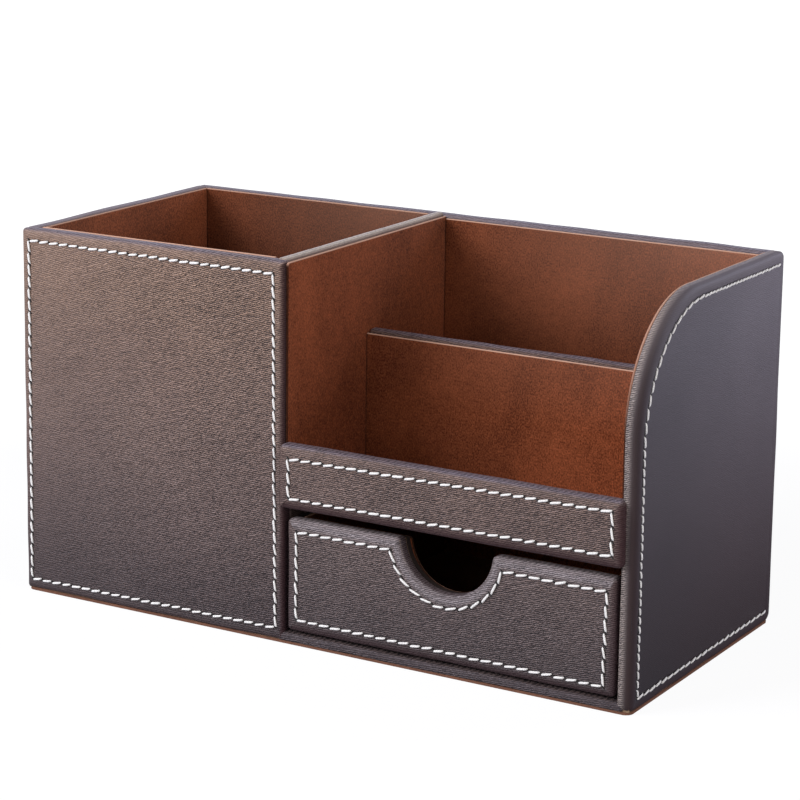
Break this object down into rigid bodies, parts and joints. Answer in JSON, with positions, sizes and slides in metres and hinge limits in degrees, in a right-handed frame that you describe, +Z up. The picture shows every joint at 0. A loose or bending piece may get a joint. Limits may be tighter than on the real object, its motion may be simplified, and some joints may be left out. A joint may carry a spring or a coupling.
{
  "type": "pen stand with drawer",
  "caption": "Leather-wrapped desk organizer with an open pen box, a letter bay split by a partition, and a drawer with a finger notch under the bay.",
  "frame": {"origin": "middle of the footprint, on the desk", "axes": "+X to the right as seen from the drawer side, +Y to the back, +Z up"},
  "size_m": [0.26, 0.124, 0.143],
  "materials": {
    "fibreboard": "bare fibreboard, hidden under leather and lining",
    "drawer_card": "dark paper-covered board",
    "leather": "coated grained leather, dark grey-brown, soft sheen",
    "suede": "rust-brown suede with a short nap",
    "felt": "dark brown felt"
  },
  "bodies": {
    "case": {"base_board": "fibreboard", "left_side_board": "fibreboard", "back_board": "fibreboard", "right_side_board": "fibreboard", "pen_front_board": "fibreboard", "divider_board": "fibreboard", "shelf_board": "fibreboard", "bay_front_board": "fibreboard", "ledge_board": "fibreboard", "partition_board": "fibreboard", "outer_leather": "leather", "pen_front_leather": "leather", "divider_leather": "leather", "ledge_leather": "leather", "partition_leather": "leather", "base_front_leather": "leather", "pen_lining_left": "suede", "pen_lining_right": "suede", "pen_lining_front": "suede", "pen_lining_back": "suede", "pen_lining_floor": "suede", "bay_lining_left": "suede", "bay_lining_right": "suede", "bay_lining_back": "suede", "bay_lining_front": "suede", "front_slot_floor": "suede", "rear_slot_floor": "suede", "partition_lining_front": "suede", "partition_lining_rear": "suede", "bay_floor_lining": "suede", "base_felt": "felt"},
    "drawer": {"drawer_front_board": "fibreboard", "drawer_front_leather": "leather", "drawer_inner_front": "drawer_card", "drawer_left_side": "drawer_card", "drawer_right_side": "drawer_card", "drawer_back": "drawer_card", "drawer_bottom": "drawer_card", "drawer_lining_front": "suede", "drawer_lining_left": "suede", "drawer_lining_right": "suede", "drawer_lining_back": "suede", "drawer_lining_floor": "suede"}
  },
  "joints": [
    {"name": "drawer_slide", "type": "slide", "parent": "case", "child": "drawer", "axis": [0, -1, 0], "range_m": [0, 0.1]}
  ]
}
